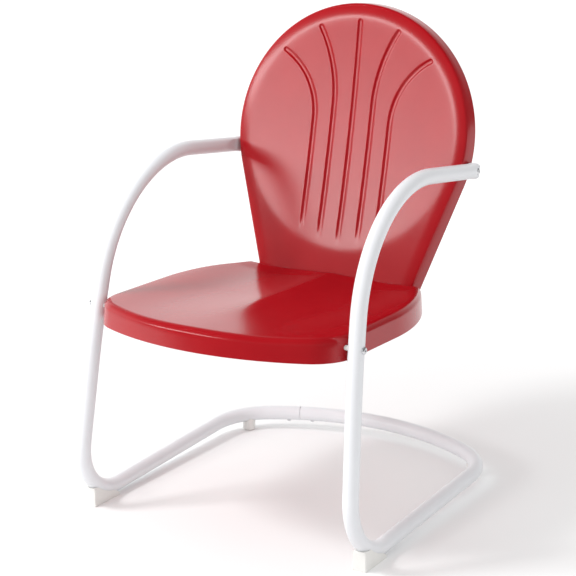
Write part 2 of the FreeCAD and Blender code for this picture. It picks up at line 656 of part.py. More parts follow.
def cross_bolt(name, bolt, head_x, inside, blockers, hole):
    # A bolt along X with its spacer outside a curved wall, and a saddle washer and nut inside it.
    low_x, high_x = wall_span(bolt, inside)
    nut_x = low_x - SADDLE_EDGE
    foot = Vector(0, bolt.y, bolt.z)
    saddle = rod(foot, X, WASHER_DIAMETER / 2, nut_x, high_x + 1)
    saddle = largest(saddle.common(inside)).cut(hole)
    spacer = rod(foot, X, WASHER_DIAMETER / 2, nut_x, bolt.x)
    for blocker in blockers:
        spacer = spacer.cut(blocker)
    spacer = largest(spacer).cut(hole)
    head_seat = Vector(head_x, bolt.y, bolt.z)
    nut_seat = Vector(nut_x, bolt.y, bolt.z)
    keep_pair(name + "_bolt", button_bolt(head_seat, X * -1, head_x - nut_x + NUT_HEIGHT + BOLT_PAST_NUT))
    keep_group(name + "_spacers", [spacer, mirrored(spacer)])
    keep_group(name + "_saddle_washers", [saddle, mirrored(saddle)])
    inner_nut = nut(nut_seat, X * -1)
    keep_group(name + "_nuts", [inner_nut, mirrored(inner_nut)])


leg_edges, _, _ = trace(leg_foot, heading_at(LEG_LEAN), leg_steps)
leg_room = swept(leg_edges, leg_foot, heading_at(LEG_LEAN), TUBE_RADIUS + SEATING)
cross_bolt("seat", seat_bolt, seat_bolt.x + TUBE_RADIUS + HOLE_CLEARANCE,
           seat_solid(SHEET + SEATING, BEYOND), [seat_solid(-SEATING), leg_room], seat_hole)
cross_bolt("arm", arm_bolt, arm_bolt.x + NOSE_THICKNESS / 2 - NOSE_POCKET_DEPTH,
           back_solid(SHEET + SEATING, BACK_FLANGE + BEYOND),
           [back_solid(-SEATING, BACK_FLANGE), parts["left_arm_leg_tube"]], arm_hole)

# Back bolts: washer and head under the seat, washer and nut behind the back
back_grip = 2 * SHEET + 2 * WASHER_THICKNESS + NUT_HEIGHT + BOLT_PAST_NUT
head_depth = SHEET + WASHER_THICKNESS
keep_group("back_bolts", [button_bolt(place - back_rear * head_depth, back_rear, back_grip)
                          for place in back_bolt_seats])
keep_group("back_washers", [washer(place + back_rear * offset, back_rear)
                            for place in back_bolt_seats for offset in (-head_depth, SHEET)])
keep_group("back_nuts", [nut(place + back_rear * head_depth, back_rear) for place in back_bolt_seats])

# Origin: the middle of the footprint on the floor
boxes = [shape.optimalBoundingBox(False, False) for shape in parts.values()]
middle = Vector((min(box.XMin for box in boxes) + max(box.XMax for box in boxes)) / 2,
                (min(box.YMin for box in boxes) + max(box.YMax for box in boxes)) / 2,
                min(box.ZMin for box in boxes))
os.makedirs("parts", exist_ok=True)
for name, shape in parts.items():
    shape.translate(middle * -1)
    shape.exportStep(os.path.join("parts", name + ".step"))
    print(f"{name}: {len(shape.Solids)} solid(s), {shape.Volume / 1000:.2f} cm3, valid {shape.isValid()}")
print(f"moved by {-middle.x:.3f}, {-middle.y:.3f}, {-middle.z:.3f}")
print(f"frames lean inwards {inward:.2f} degrees, feet at {foot_x:.1f}, arm run {arm_straight:.1f}")
print(f"rear bow radius {rear_bow_radius:.1f}, seat bolt {seat_bolt}, arm bolt {arm_bolt}")
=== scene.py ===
import logging
import math
from dataclasses import dataclass
from enum import Enum

import bmesh
import bpy
from mathutils import Matrix, Vector


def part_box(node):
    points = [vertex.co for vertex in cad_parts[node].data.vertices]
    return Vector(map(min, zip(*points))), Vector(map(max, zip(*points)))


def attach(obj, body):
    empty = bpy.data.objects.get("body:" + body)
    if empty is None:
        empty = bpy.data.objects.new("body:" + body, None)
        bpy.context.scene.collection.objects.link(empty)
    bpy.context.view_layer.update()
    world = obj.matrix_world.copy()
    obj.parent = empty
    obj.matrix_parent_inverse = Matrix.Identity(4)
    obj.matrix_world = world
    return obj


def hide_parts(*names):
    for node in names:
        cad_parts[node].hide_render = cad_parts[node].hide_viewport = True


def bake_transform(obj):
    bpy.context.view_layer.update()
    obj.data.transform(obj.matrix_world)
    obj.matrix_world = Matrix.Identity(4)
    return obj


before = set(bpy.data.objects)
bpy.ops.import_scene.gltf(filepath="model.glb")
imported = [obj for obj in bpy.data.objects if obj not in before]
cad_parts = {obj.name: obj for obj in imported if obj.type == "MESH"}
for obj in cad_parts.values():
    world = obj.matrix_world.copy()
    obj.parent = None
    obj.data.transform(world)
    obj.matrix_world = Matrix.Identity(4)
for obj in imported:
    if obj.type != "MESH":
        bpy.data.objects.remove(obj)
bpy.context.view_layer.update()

# Spring lawn chair: a pressed seat and a pressed round back on two bent side tubes. Metres, +Z up, the
# sitter faces -Y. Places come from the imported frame; sizes that it doesn't tell are fields of the classes.

log = logging.getLogger("lawn_chair")

Piece = bpy.types.Object
Socket = bpy.types.NodeSocket
Colour = tuple[float, float, float]
Span = tuple[float, float]
Patterns = tuple[Socket, Socket, Socket]

X = Vector((1, 0, 0))
Y = Vector((0, 1, 0))
Z = Vector((0, 0, 1))
QUARTER = math.pi / 2
WHITE = (1.0, 1.0, 1.0, 1.0)
NEAR_BLACK = (0.02, 0.02, 0.02, 1.0)
NOISE_MIDDLE = (0.3, 0.7)
DOUBLES = 1e-6
BEVEL_SEGMENTS = 3


class Side(Enum):
    """The sitter's side of a piece, with the sign of its X."""

    LEFT = 1
    RIGHT = -1

    @property
    def word(self) -> str:
        """The side as the frame's node names give it."""
        return self.name.lower()


class Body(Enum):
    """The two bodies of the frame."""

    BASE = "base"
    SEAT_UNIT = "seat_unit"


def middle_of(node: str) -> Vector:
    """The middle of a node's box at rest."""
    low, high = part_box(node)
    return (low + high) / 2


def turned(vector: Vector, axis: Vector, degrees: float) -> Vector:
    """A vector turned right-handed about an axis through the origin."""
    return Matrix.Rotation(math.radians(degrees), 3, axis) @ vector


def mirrored(point: Vector) -> Vector:
    """A flat point's mirror image across the chair's middle."""
    return Vector((-point.x, point.y))


def smooth(share: float) -> float:
    """A share that eases in at nought and out at one."""
    share = min(1.0, max(0.0, share))
    return share * share * (3 - 2 * share)


def deselect_all() -> None:
    """Leaves nothing selected, so that an operator acts on the new piece alone."""
    if bpy.context.mode != "OBJECT":
        bpy.ops.object.mode_set(mode="OBJECT")
    bpy.ops.object.select_all(action="DESELECT")


def make_active(piece: Piece) -> None:
    """Selects one piece alone and makes it the active one.

    Args:
        piece: The piece.
    """
    deselect_all()
    piece.select_set(True)
    bpy.context.view_layer.objects.active = piece


def open_mesh(piece: Piece) -> None:
    """Opens a piece for editing, with all of it selected.

    Args:
        piece: The piece.
    """
    make_active(piece)
    bpy.ops.object.mode_set(mode="EDIT")
    bpy.ops.mesh.select_all(action="SELECT")


def extrude_by(move: Vector) -> None:
    """Extrudes what is selected and moves it."""
    bpy.ops.mesh.extrude_region_move(TRANSFORM_OT_translate={"value": move})


def close_mesh() -> None:
    """Leaves edit mode."""
    bpy.ops.object.mode_set(mode="OBJECT")


def apply_place() -> None:
    """Moves the active piece's place into its mesh, which leaves its object at the origin."""
    bpy.ops.object.transform_apply(location=True, rotation=True, scale=True)


def apply_modifier(piece: Piece, kind: str, **settings: object) -> None:
    """Adds a modifier to a piece, sets it and applies it.

    Args:
        piece: The piece.
        kind: The modifier's type.
        settings: Its values by name.
    """
    make_active(piece)
    modifier = piece.modifiers.new(kind.title(), kind)
    for name, value in settings.items():
        setattr(modifier, name, value)
    bpy.ops.object.modifier_apply(modifier=modifier.name)


def recalculate_normals(piece: Piece) -> None:
    """Merges a mesh's doubles and points its faces outwards.

    Args:
        piece: The piece.
    """
    open_mesh(piece)
    bpy.ops.mesh.remove_doubles(threshold=DOUBLES)
    bpy.ops.mesh.normals_make_consistent(inside=False)
    close_mesh()


def shade(piece: Piece, degrees: float) -> None:
    """Smooths a piece's shading, apart from edges sharper than an angle."""
    make_active(piece)
    bpy.ops.object.shade_smooth_by_angle(angle=math.radians(degrees))


class Nodes:
    """A material's or the world's node tree while it is put together."""

    def __init__(self, owner: bpy.types.Material | bpy.types.World) -> None:
        """Gives the owner an empty node tree.

        Args:
            owner: The material or world.
        """
        owner.use_nodes = True
        self.tree = owner.node_tree
        self.tree.nodes.clear()

    def add(self, kind: str, inputs: dict | None = None, **settings: object) -> bpy.types.Node:
        """Adds a node.

        Args:
            kind: The node's type without its prefix.
            inputs: Values or output sockets by the name or number of the input.
            settings: The node's own properties.

        Returns:
            The node.
        """
        node = self.tree.nodes.new("ShaderNode" + kind)
        for name, value in settings.items():
            setattr(node, name, value)
        for name, value in (inputs or {}).items():
            if isinstance(value, Socket):
                self.tree.links.new(value, node.inputs[name])
            else:
                node.inputs[name].default_value = value
        return node

    def reckon(self, kind: str, operation: str, *values: object) -> Socket:
        """The value of a Math or VectorMath node."""
        return self.add(kind, dict(enumerate(values)), operation=operation).outputs["Value"]

    def noise(self, place: Socket, size: float, detail: float) -> Socket:
        """A noise pattern whose features are about one size, with some finer layers."""
        return self.add("TexNoise", {"Vector": place, "Scale": 1 / size, "Detail": detail}).outputs["Fac"]

    def ramp(self, value: Socket, reach: Span, ends: Span, curve: str = "LINEAR") -> Socket:
        """A value's reach spread over other limits.

        Args:
            value: The value.
            reach: Where it leaves the first limit and meets the second.
            ends: The two limits.
            curve: How it goes from one to the other.

        Returns:
            The new value.
        """
        limits = {"From Min": reach[0], "From Max": reach[1], "To Min": ends[0], "To Max": ends[1]}
        return self.add("MapRange", {"Value": value, **limits}, interpolation_type=curve).outputs["Result"]

    def blend(self, share: Socket, first: Colour, second: Colour) -> Socket:
        """A colour between two colours.

        Args:
            share: How much of the second colour shows.
            first: The first colour.
            second: The second colour.

        Returns:
            The colour.
        """
        mix = self.add("Mix", data_type="RGBA")
        self.tree.links.new(share, mix.inputs["Factor"])
        mix.inputs["A"].default_value = (*first, 1.0)
        mix.inputs["B"].default_value = (*second, 1.0)
        return mix.outputs["Result"]

    def bump(self, height: Socket, depth: float, **below: Socket) -> Socket:
        """A normal with a pattern's bumps, as deep as given, on top of the normal below them."""
        inputs = {"Height": height, "Distance": depth, "Strength": 1.0, **below}
        return self.add("Bump", inputs).outputs["Normal"]


@dataclass(frozen=True)
class Finish:
    """A finish in two shades, whose roughness varies between two limits."""

    name: str
    colour: Colour
    other_colour: Colour
    roughness: Span
    metallic: float = 0.0

    def patterns(self, nodes: Nodes, place: Socket) -> Patterns:
        """The other shade's share, the pattern of the roughness and the normal."""
        raise NotImplementedError

    def material(self) -> bpy.types.Material:
        """Makes the finish.

        Returns:
            The material.
        """
        material = bpy.data.materials.new(self.name)
        nodes = Nodes(material)
        share, gloss, normal = self.patterns(nodes, nodes.add("TexCoord").outputs["Object"])
        shader = nodes.add("BsdfPrincipled", {
            "Metallic": self.metallic,
            "Base Color": nodes.blend(share, self.colour, self.other_colour),
            "Roughness": nodes.ramp(gloss, NOISE_MIDDLE, self.roughness),
            "Normal": normal})
        nodes.add("OutputMaterial", {"Surface": shader.outputs["BSDF"]})
        return material


@dataclass(frozen=True)
class Enamel(Finish):
    """Baked powder coat: a satin skin with a fine orange peel and a faint mottle."""

    peel_size: float = 0.0028
    peel_depth: float = 0.000018
    grain_size: float = 0.0007
    grain_depth: float = 0.000003
    mottle_size: float = 0.06
    mottle_detail: float = 4.0
    peel_detail: float = 2.0
    grain_detail: float = 1.0

    def patterns(self, nodes: Nodes, place: Socket) -> Patterns:
        """A mottle, a grain and the grain on top of a peel.

        Args:
            nodes: The material's nodes.
            place: The object's coordinates.

        Returns:
            The other shade's share, the pattern of the roughness and the normal.
        """
        mottle = nodes.noise(place, self.mottle_size, self.mottle_detail)
        peel = nodes.noise(place, self.peel_size, self.peel_detail)
        grain = nodes.noise(place, self.grain_size, self.grain_detail)
        peeled = nodes.bump(peel, self.peel_depth)
        share = nodes.ramp(mottle, NOISE_MIDDLE, (0.0, 1.0))
        return share, grain, nodes.bump(grain, self.grain_depth, Normal=peeled)


@dataclass(frozen=True)
class Moulding(Finish):
    """Moulded plastic: a fine spark-eroded grain, faint flow marks and a darker band where it meets the
    floor.
    """

    grain_size: float = 0.0005
    grain_depth: float = 0.000012
    flow_size: float = 0.02
    flow_strength: float = 0.35
    floor_band_height: float = 0.004
    flow_detail: float = 3.0
    grain_detail: float = 2.0

    def patterns(self, nodes: Nodes, place: Socket) -> Patterns:
        """A darker band near the floor or flow marks, whichever is stronger, and a grain.

        Args:
            nodes: The material's nodes.
            place: The object's coordinates.

        Returns:
            The other shade's share, the pattern of the roughness and the normal.
        """
        height = nodes.add("SeparateXYZ", {"Vector": place}).outputs["Z"]
        # The other, darker shade fills a band within a few millimetres of the floor.
        low = nodes.ramp(height, (0.0, self.floor_band_height), (1.0, 0.0))
        marks = nodes.noise(place, self.flow_size, self.flow_detail)
        flow = nodes.ramp(marks, NOISE_MIDDLE, (0.0, self.flow_strength))
        grain = nodes.noise(place, self.grain_size, self.grain_detail)
        return nodes.reckon("Math", "MAXIMUM", low, flow), grain, nodes.bump(grain, self.grain_depth)


@dataclass(frozen=True)
class ZincPlate(Finish):
    """Zinc on steel, with fine drawn marks and clouds that are duller and of another tint."""

    metallic: float = 1.0
    mark_size: float = 0.0004
    mark_depth: float = 0.000004
    mark_stretch: float = 0.15
    cloud_size: float = 0.004
    mark_detail: float = 2.0
    cloud_detail: float = 3.0

    def patterns(self, nodes: Nodes, place: Socket) -> Patterns:
        """Clouds and drawn marks.

        Args:
            nodes: The material's nodes.
            place: The object's coordinates.

        Returns:
            The other shade's share, the pattern of the roughness and the normal.
        """
        drawn = nodes.add("Mapping", {"Vector": place, "Scale": (1.0, 1.0, self.mark_stretch)})
        marks = nodes.noise(drawn.outputs["Vector"], self.mark_size, self.mark_detail)
        cloud = nodes.noise(place, self.cloud_size, self.cloud_detail)
        share = nodes.ramp(cloud, NOISE_MIDDLE, (0.0, 1.0))
        return share, cloud, nodes.bump(marks, self.mark_depth)


RED_ENAMEL = Enamel("red_enamel", (0.345, 0.003, 0.0075), (0.37, 0.0045, 0.009), (0.18, 0.22))
WHITE_ENAMEL = Enamel("white_enamel", (0.80, 0.81, 0.835), (0.775, 0.785, 0.81), (0.30, 0.38))
WHITE_PLASTIC = Moulding("white_plastic", (0.82, 0.815, 0.79), (0.74, 0.73, 0.70), (0.45, 0.6))
SPACER_PLASTIC = Moulding("spacer_plastic", (0.72, 0.71, 0.69), (0.68, 0.67, 0.65), (0.4, 0.55))
ZINC_STEEL = ZincPlate("zinc_steel", (0.82, 0.82, 0.83), (0.74, 0.75, 0.77), (0.38, 0.5))


@dataclass(frozen=True)
class Run:
    """A straight stretch of tube."""

    length: float
    rings: int = 1

    def reversed(self) -> "Run":
        """The same stretch walked from its other end."""
        return self


@dataclass(frozen=True)
class Bend:
    """An arc of tube, turned right-handed about an axis through its centre."""

    radius: float
    turn: float
    axis: Vector

    def reversed(self) -> "Bend":
        """The same arc walked from its other end."""
        return Bend(self.radius, self.turn, -self.axis)


Step = Run | Bend


def walk(point: Vector, heading: Vector, steps: list[Step]) -> tuple[Vector, Vector]:
    """Follows a route.

    Args:
        point: Where it starts.
        heading: Its first direction.
        steps: Its runs and bends.

    Returns:
        The point and the heading at its end.
    """
    for step in steps:
        if isinstance(step, Run):
            point = point + heading * step.length
            continue
        centre = point + step.axis.cross(heading) * step.radius
        point = centre + turned(point - centre, step.axis, step.turn)
        heading = turned(heading, step.axis, step.turn)
    return point, heading


@dataclass
class SideTube:
    """One side of the chair: a bent tube from the joint in the rear bow to the closed end at the back."""

    side: Side
    tube_radius: float = 0.014
    tube_wall: float = 0.0015
    sides: int = 48
    bend_radius: float = 0.1015
    bend_behind_front: float = 0.082
    bend_above_floor: float = 0.0037
    runner_rise: float = 2.0
    leg_lean: float = 8.5
    leg_straight: float = 0.129
    leg_bow_radius: float = 2.36
    leg_bow_turn: float = 4.1
    arm_radius: float = 0.245
    arm_fall: float = 7.4
    leg_at_seat_bolt: float = 0.2623
    arm_at_back_bolt: float = 0.2511
    runner_straight: float = 0.334
    corner_radius: float = 0.116
    corner_turn: float = 60.2
    joint_offset: float = 0.161
    joint_gap: float = 0.0008
    mouth_depth: float = 0.05
    lip_radius: float = 0.0003
    fewest_rings: int = 4
    degrees_per_ring: float = 3.0
    ring_spacing: float = 0.024
    nose_radius: float = 0.015
    nose_half_width: float = 0.0125
    nose_start: float = 0.018
    nose_rings: int = 12
    nose_squareness: float = 0.7
    nose_bluntness: float = 3.0
    swell_rings: int = 6
    end_run: float = 0.09
    end_ring_spacing: float = 0.002
    flat_depth: float = 0.005
    flat_length: float = 0.030
    flat_ramp: float = 0.060
    pocket_radius: float = 0.0105
    pocket_depth: float = 0.004
    pocket_edge: float = 0.0012
    sharp_angle: float = 40.0
    bend_follow_low: float = 0.050
    bend_follow_high: float = 0.136

    def build(self) -> Piece:
        """Models the tube.

        Returns:
            The piece.
        """
        self._lay_out()
        piece = self._start_at_joint()
        for step in self.route:
            self._extrude(step)
        self._close_nose(piece)
        self._press_flat(piece)
        recalculate_normals(piece)
        self._sink_pocket(piece)
        if self.side is Side.RIGHT:
            self._mirror(piece)
        shade(piece, self.sharp_angle)
        return piece

    def _lay_out(self) -> None:
        """Works out the route from the joint to the arm's end, on the left side and in the frame's place."""
        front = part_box("left_front_foot")[0].y
        seat_bolt = middle_of("left_seat_bolt")
        arm_bolt = middle_of("left_arm_bolt")
        foot_x = middle_of("left_front_foot").x
        inward = math.atan((self.leg_at_seat_bolt - self.arm_at_back_bolt) / (arm_bolt.z - seat_bolt.z))
        up = Vector((-math.sin(inward), 0, math.cos(inward)))
        axis = -Y.cross(up)
        low = self.bend_above_floor + self.tube_radius
        rise = math.radians(self.runner_rise)
        lean = math.radians(self.leg_lean)
        runner = Y * math.cos(rise) + up * math.sin(rise)
        leg = Y * math.sin(lean) + up * math.cos(lean)
        start = (Vector((foot_x, front + self.bend_behind_front + self.bend_radius * math.sin(rise), low))
                 + up * (self.bend_radius * (1 - math.cos(rise))))
        loop_axis = runner.cross(-X).normalized()
        loop = [Run(self.runner_straight), Bend(self.corner_radius, self.corner_turn, loop_axis)]
        corner, heading = walk(start, runner, loop)
        bow_turn = math.degrees(heading.angle(-X))
        bow_radius = corner.x / math.sin(math.radians(bow_turn))
        to_joint = math.degrees(math.asin(self.joint_offset / bow_radius))
        gap = math.degrees(self.joint_gap / 2 / bow_radius)
        loop.append(Bend(bow_radius, bow_turn + self.side.value * to_joint - gap, loop_axis))
        joint, heading = walk(start, runner, loop)
        inside = Bend(bow_radius, math.degrees(self.mouth_depth / bow_radius), -loop_axis)
        self.mouth_start, self.mouth_heading = walk(joint, -heading, [inside])
        self.mouth = inside.reversed()
        foot = Bend(self.bend_radius, math.degrees((-runner).angle(leg)), axis)
        arm_turn = 90 + self.arm_fall - self.leg_lean - self.leg_bow_turn
        climb = [foot, Run(self.leg_straight), Bend(self.leg_bow_radius, self.leg_bow_turn, axis),
                 Bend(self.arm_radius, arm_turn, axis)]
        arm_start, self.arm_heading = walk(start, -runner, climb)
        reach = (arm_bolt.y - arm_start.y) / self.arm_heading.y
        self.arm_end = arm_start + self.arm_heading * reach
        last = self.end_run - self.nose_start
        self.route = [step.reversed() for step in reversed(loop)] + climb
        self.route += [Run(reach - self.end_run), Run(last, round(last / self.end_ring_spacing))]

    def _start_at_joint(self) -> Piece:
        """Starts the mesh inside the open end at the joint, and brings it out round the lip.

        Returns:
            The new piece, with its last ring selected.
        """
        bore = self.tube_radius - self.tube_wall
        deselect_all()
        bpy.ops.mesh.primitive_circle_add(
            vertices=self.sides, radius=bore, fill_type="NGON", location=self.mouth_start,
            rotation=(-self.mouth_heading).to_track_quat("Z", "Y").to_euler())
        piece = bpy.context.object
        piece.name = f"{self.side.word}_side_tube"
        apply_place()
        open_mesh(piece)
        self.point, self.heading = self.mouth_start, -self.mouth_heading
        bpy.ops.mesh.select_mode(type="VERT")
        self._extrude(self.mouth)
        self._extrude_scaled((bore + self.lip_radius) / bore)
        self._extrude_scaled((self.tube_radius - self.lip_radius) / (bore + self.lip_radius))
        self.heading = -self.heading
        self._extrude_scaled(self.tube_radius / (self.tube_radius - self.lip_radius), self.lip_radius)
        self.point -= self.heading * self.lip_radius
        return piece

    def _extrude_scaled(self, factor: float, forward: float = 0.0) -> None:
        """Extrudes the selected ring to another size.

        Args:
            factor: The new size as a share of the old.
            forward: How far it moves along the heading.
        """
        move = self.heading * forward
        self.point = self.point + move
        extrude_by(move)
        bpy.ops.transform.resize(value=(factor, factor, factor), center_override=self.point)

    def _extrude(self, step: Step) -> None:
        """Extrudes the selected ring along one step of the route.

        Args:
            step: The run or bend.
        """
        if isinstance(step, Run):
            move = self.heading * (step.length / step.rings)
            for _ in range(step.rings):
                extrude_by(move)
        else:
            arc = math.radians(step.turn) * step.radius
            rings = max(self.fewest_rings, math.ceil(step.turn / self.degrees_per_ring),
                        math.ceil(arc / self.ring_spacing))
            centre = self.point + step.axis.cross(self.heading) * step.radius
            bpy.ops.mesh.spin(steps=rings, dupli=False, angle=-math.radians(step.turn), center=centre,
                              axis=step.axis)
        self.point, self.heading = walk(self.point, self.heading, [step])

    def _close_nose(self, piece: Piece) -> None:
        """Swells the tube into the rounded head at the bolt and closes it.

        Args:
            piece: The piece, in edit mode, with its last ring selected.
        """
        up = self.arm_heading.cross(X).normalized() * -1
        across = up.cross(self.arm_heading).normalized()
        stations = [self.nose_start * k / self.swell_rings - self.nose_start
                    for k in range(1, self.swell_rings + 1)]
        stations += [self.nose_radius * math.sin(QUARTER * k / self.nose_rings)
                     for k in range(1, self.nose_rings)]
        before = -self.nose_start
        for station in stations:
            extrude_by(self.arm_heading * (station - before))
            before = station
            mesh = bmesh.from_edit_mesh(piece.data)
            centre = self.arm_end + self.arm_heading * station
            for vert in mesh.verts:
                if vert.select:
                    spread = vert.co - centre
                    angle = math.atan2(spread.dot(up), spread.dot(across))
                    vert.co = centre + self._nose_point(angle, station, across, up)
        bmesh.update_edit_mesh(piece.data)
        extrude_by(self.arm_heading * (self.nose_radius - before))
        bpy.ops.mesh.merge(type="CENTER")
        close_mesh()

    def _nose_point(self, angle: float, station: float, across: Vector, up: Vector) -> Vector:
        """A point of the head's section.

        Args:
            angle: Where on the section, from the outer side upwards.
            station: How far past the bolt the section is.
            across: The section's direction outwards.
            up: The section's direction upwards.

        Returns:
            The point, from the section's centre.
        """
        share = smooth(1 - max(0.0, -station) / self.nose_start)
        past = max(0.0, station) / self.nose_radius
        high = self.tube_radius + (self.nose_radius - self.tube_radius) * share
        wide = self.tube_radius + (self.nose_half_width - self.tube_radius) * share
        high *= math.sqrt(1 - past ** 2)
        wide *= math.sqrt(1 - past ** self.nose_bluntness)
        power = 2 / (2 + self.nose_squareness * share)
        cosine, sine = math.cos(angle), math.sin(angle)
        return (across * (wide * math.copysign(abs(cosine) ** power, cosine))
                + up * (high * math.copysign(abs(sine) ** power, sine)))

    def _press_flat(self, piece: Piece) -> None:
        """Presses the inner side of the arm's end flat against the back's flange.

        Args:
            piece: The piece.
        """
        flat_x = self.arm_end.x - self.tube_radius + self.flat_depth
        ramp_start = self.arm_end.y - self.flat_length - self.flat_ramp
        lowest = self.arm_end.z - 2 * self.nose_radius
        for vert in piece.data.vertices:
            if vert.co.z >= lowest and vert.co.y >= ramp_start:
                share = min(1.0, (vert.co.y - ramp_start) / self.flat_ramp)
                vert.co.x = max(vert.co.x, flat_x - 2 * self.flat_depth * (1 - share))

    def _sink_pocket(self, piece: Piece) -> None:
        """Sinks the round pocket for the bolt's head into the outer side of the arm's end.

        Args:
            piece: The piece.
        """
        deselect_all()
        depth = self.nose_radius
        floor_x = self.arm_end.x + self.nose_half_width - self.pocket_depth
        bpy.ops.mesh.primitive_cylinder_add(
            vertices=self.sides, radius=self.pocket_radius, depth=depth, rotation=(0, QUARTER, 0),
            location=Vector((floor_x + depth / 2, self.arm_end.y, self.arm_end.z)))
        cutter = bpy.context.object
        apply_place()
        apply_modifier(cutter, "BEVEL", width=self.pocket_edge, segments=BEVEL_SEGMENTS, limit_method="ANGLE")
        apply_modifier(piece, "BOOLEAN", operation="DIFFERENCE", object=cutter, solver="EXACT")
        bpy.data.objects.remove(cutter)

    def _mirror(self, piece: Piece) -> None:
        """Mirrors the left tube's shape into the right one.

        Args:
            piece: The piece.
        """
        open_mesh(piece)
        bpy.ops.transform.resize(value=(-1, 1, 1), center_override=(0, 0, 0))
        close_mesh()
        recalculate_normals(piece)

    def finish(self, piece: Piece, coat: bpy.types.Material) -> None:
        """Coats the tube, hides the frame's tube nodes that it stands in for and bakes its place into its
        mesh.

        Args:
            piece: The piece.
            coat: Its material.
        """
        word = self.side.word
        piece.data.materials.append(coat)
        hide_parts(f"{word}_arm_leg_tube", f"{word}_spring_bend", f"{word}_runner_tube")
        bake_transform(piece)


@dataclass
class Outline:
    """A closed flat outline that is sampled stretch by stretch, each without its last point."""

    points: list[Vector]

    def line(self, start: Vector, end: Vector, count: int) -> None:
        """Adds a straight stretch of so many points."""
        self.points += [start.lerp(end, k / count) for k in range(count)]

    def arc(self, centre: Vector, radius: float, start: float, end: float, count: int) -> None:
        """Adds an arc.

        Args:
            centre: Its centre.
            radius: Its radius.
            start: Its first angle in radians.
            end: Its last angle.
            count: How many points it gives.
        """
        for k in range(count):
            angle = start + (end - start) * k / count
            self.points.append(centre + Vector((math.cos(angle), math.sin(angle))) * radius)


@dataclass
class PressedPanel:
    """A sheet-steel panel: a face with pressed relief, a rolled edge and a flared flange."""

    name: str = ""
    sheet: float = 0.0012
    flange: float = 0.032
    flare: float = 0.003
    roll_rings: int = 9
    flange_rings: int = 5
    sharp_angle: float = 50.0

    def outward(self) -> Vector:
        """The face's own outward direction."""
        raise NotImplementedError

    def outline(self, inset: float, level: float) -> list[Vector]:
        """The panel's outline, an inset inside its edge and at a level behind its face."""
        raise NotImplementedError

    def edge(self) -> list[Span]:
        """The section of the edge from the face outwards, as insets and levels."""
        raise NotImplementedError

    def place(self, across: float, along: float, level: float) -> Vector:
        """A point of the panel in the frame, by its X, its distance along the face and its depth."""
        raise NotImplementedError

    def relief(self, across: float, along: float) -> float:
        """How deep the face is pressed at a point."""
        raise NotImplementedError

    def refine(self, piece: Piece) -> None:
        """Cuts the flat skin finer where the relief is fine. A panel without such relief stays as it is."""

    def build(self) -> Piece:
        """Models the panel.

        Returns:
            The piece.
        """
        edge = self.edge()
        first = self.outline(*edge[0])
        deselect_all()
        bpy.ops.mesh.primitive_circle_add(vertices=len(first), radius=1.0, fill_type="NOTHING")
        piece = bpy.context.object
        piece.name = self.name
        for vert, point in zip(piece.data.vertices, first):
            vert.co = Vector((point.x, point.y, edge[0][1]))
        bpy.ops.object.mode_set(mode="EDIT")
        bpy.ops.mesh.select_mode(type="EDGE")
        bpy.ops.mesh.select_all(action="SELECT")
        self._fill(piece, len(first))
        self._extrude_edge(piece, len(first), edge)
        close_mesh()
        self.refine(piece)
        self._press(piece)
        self._thicken(piece)
        return piece

    def _fill(self, piece: Piece, count: int) -> None:
        """Fills the face's outline with a grid, whose first corner lies half a side from the first point.

        Args:
            piece: The piece, in edit mode.
            count: The outline's number of points.
        """
        side = count // 4
        mesh = bmesh.from_edit_mesh(piece.data)
        mesh.verts.ensure_lookup_table()
        mesh.select_history.clear()
        mesh.select_history.add(mesh.verts[side // 2])
        bmesh.update_edit_mesh(piece.data)
        bpy.ops.mesh.fill_grid(span=side, offset=0)

    def _extrude_edge(self, piece: Piece, count: int, edge: list[Span]) -> None:
        """Extrudes the outline ring by ring round the rolled edge and down the flange.

        Args:
            piece: The piece, in edit mode.
            count: The outline's number of points.
            edge: The section of the edge.
        """
        ring = {k: k for k in range(count)}
        for inset, level in edge[1:]:
            mesh = bmesh.from_edit_mesh(piece.data)
            for each in [*mesh.faces, *mesh.edges, *mesh.verts]:
                each.select = False
            for each in mesh.edges:
                if each.is_boundary:
                    each.select_set(True)
            bmesh.update_edit_mesh(piece.data)
            bpy.ops.mesh.extrude_edges_move()
            mesh = bmesh.from_edit_mesh(piece.data)
            mesh.verts.index_update()
            points = self.outline(inset, level)
            fresh = {}
            for vert in mesh.verts:
                if vert.select:
                    before = [link.other_vert(vert).index for link in vert.link_edges]
                    fresh[vert.index] = next(ring[k] for k in before if k in ring)
                    place = points[fresh[vert.index]]
                    vert.co = Vector((place.x, place.y, level))
            ring = fresh
            bmesh.update_edit_mesh(piece.data)

    def _press(self, piece: Piece) -> None:
        """Presses the relief into the skin, fading it out on the flange, and brings the skin to its place.

        Args:
            piece: The piece, flat, with each vertex's level as its height.
        """
        for vert in piece.data.vertices:
            across, along, level = vert.co
            share = max(0.0, 1 - level / self.flange)
            vert.co = self.place(across, along, level + share * self.relief(across, along))
        piece.data.update()

    def _thicken(self, piece: Piece) -> None:
        """Points the skin's faces outwards and gives the sheet its thickness on the inner side.

        Args:
            piece: The piece.
        """
        recalculate_normals(piece)
        top = max(piece.data.polygons, key=lambda face: face.center.dot(self.outward()))
        if top.normal.dot(self.outward()) < 0:
            open_mesh(piece)
            bpy.ops.mesh.flip_normals()
            close_mesh()
        apply_modifier(piece, "SOLIDIFY", thickness=self.sheet, offset=-1.0, use_even_offset=True)
        shade(piece, self.sharp_angle)


